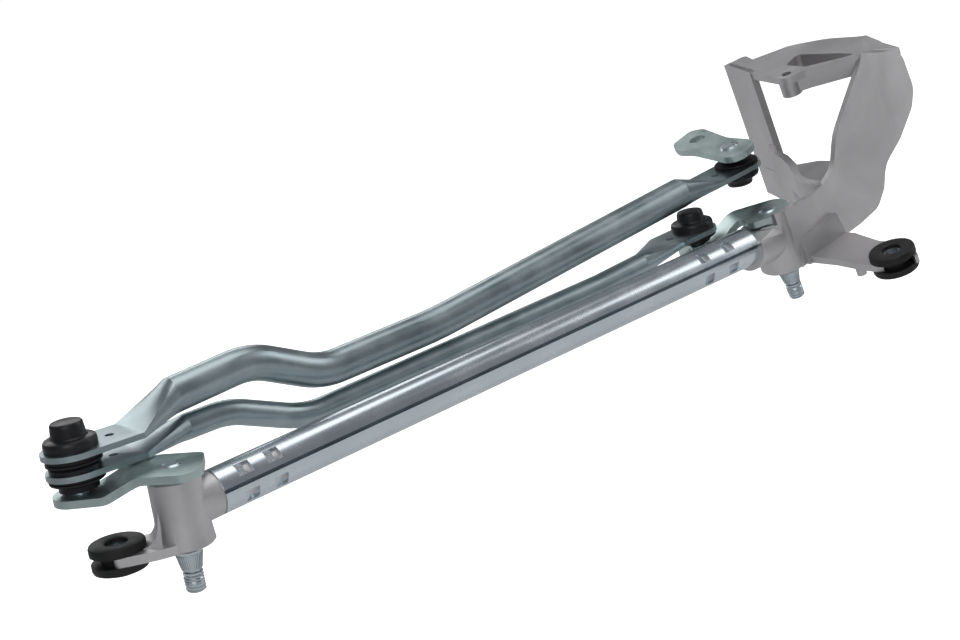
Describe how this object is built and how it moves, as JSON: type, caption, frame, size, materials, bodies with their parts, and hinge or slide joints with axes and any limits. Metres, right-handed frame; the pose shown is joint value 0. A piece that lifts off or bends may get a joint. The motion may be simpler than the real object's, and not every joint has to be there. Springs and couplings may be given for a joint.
{
  "type": "windscreen wiper linkage",
  "caption": "Windscreen wiper linkage: frame tube between two cast housings, tilted spindles with cranked levers, coupling rod, drive rod with motor crank, capped ball joints and rubber mounts.",
  "frame": {"origin": "middle of the bore in the passenger mount, which holds the linkage to the car", "axes": "+X along the frame tube from the passenger housing to the motor bracket, +Z towards the lever side in the plane of both spindle axes, so the wiper threads point down"},
  "size_m": [0.5277, 0.1567, 0.1223],
  "materials": {
    "tube_steel": "bright zinc plate",
    "rod_steel": "zinc plate",
    "lever_steel": "zinc plate with a faint green tint",
    "spindle_steel": "zinc plate",
    "cast_aluminium": "die cast, as cast",
    "bush_bronze": "sintered bronze",
    "black_plastic": "moulded",
    "boot_rubber": "moulded",
    "grommet_rubber": "moulded",
    "ring_steel": "spring steel"
  },
  "bodies": {
    "frame": {"frame_tube": "tube_steel", "passenger_housing": "cast_aluminium", "motor_bracket": "cast_aluminium", "passenger_upper_bush": "bush_bronze", "passenger_lower_bush": "bush_bronze", "passenger_seal_ring": "boot_rubber", "passenger_thrust_washer": "spindle_steel", "passenger_grommet": "grommet_rubber", "passenger_grommet_sleeve": "spindle_steel", "driver_upper_bush": "bush_bronze", "driver_lower_bush": "bush_bronze", "driver_seal_ring": "boot_rubber", "driver_thrust_washer": "spindle_steel", "driver_grommet": "grommet_rubber", "driver_grommet_sleeve": "spindle_steel"},
    "passenger_lever_body": {"passenger_spindle": "spindle_steel", "passenger_retaining_ring": "ring_steel", "passenger_lever": "lever_steel", "double_ball_stud": "spindle_steel"},
    "driver_lever_body": {"driver_spindle": "spindle_steel", "driver_retaining_ring": "ring_steel", "driver_lever": "lever_steel", "driver_ball_stud": "spindle_steel"},
    "coupling_rod_body": {"coupling_rod": "rod_steel", "link_ball_socket": "black_plastic", "link_boot": "boot_rubber", "driver_ball_socket": "black_plastic", "driver_boot": "boot_rubber"},
    "drive_rod_body": {"drive_rod": "rod_steel", "drive_ball_socket": "black_plastic", "drive_boot": "boot_rubber", "crank_ball_socket": "black_plastic", "crank_boot": "boot_rubber"},
    "crank_body": {"motor_crank": "lever_steel", "crank_ball_stud": "spindle_steel"}
  },
  "joints": [
    {"name": "passenger_pivot", "type": "hinge", "parent": "frame", "child": "passenger_lever_body", "pos_m": [0.0259, -0.0115, 0.01197], "axis": [0.0698, 0, 0.9976], "range_deg": [-84, 2]},
    {"name": "driver_pivot", "type": "hinge", "parent": "frame", "child": "driver_lever_body", "pos_m": [0.3983, -0.0115, 0.01197], "axis": [-0.2215, 0, 0.9751], "range_deg": [-85.96, 2.06]},
    {"name": "coupling_rod_pivot", "type": "hinge", "parent": "passenger_lever_body", "child": "coupling_rod_body", "pos_m": [-0.00037, 0.01727, 0.03461], "axis": [0.0932, -0.0219, 0.9954], "range_deg": [-2.01, 84.01]},
    {"name": "drive_rod_pivot", "type": "hinge", "parent": "passenger_lever_body", "child": "drive_rod_body", "pos_m": [0.00045, 0.01727, 0.04643], "axis": [0.0969, -0.0254, 0.995], "range_deg": [-1.95, 81.49]},
    {"name": "crank_pivot", "type": "hinge", "parent": "drive_rod_body", "child": "crank_body", "pos_m": [0.41058, 0.0197, 0.04143], "axis": [-0.2215, 0, 0.9751], "range_deg": [-1.41, 58.81]}
  ],
  "couplings": [
    {"joint": "driver_pivot", "follows": "passenger_pivot", "ratio": 1.0231},
    {"joint": "coupling_rod_pivot", "follows": "passenger_pivot", "ratio": -1},
    {"joint": "drive_rod_pivot", "follows": "passenger_pivot", "ratio": -0.97},
    {"joint": "crank_pivot", "follows": "passenger_pivot", "ratio": -0.7}
  ]
}
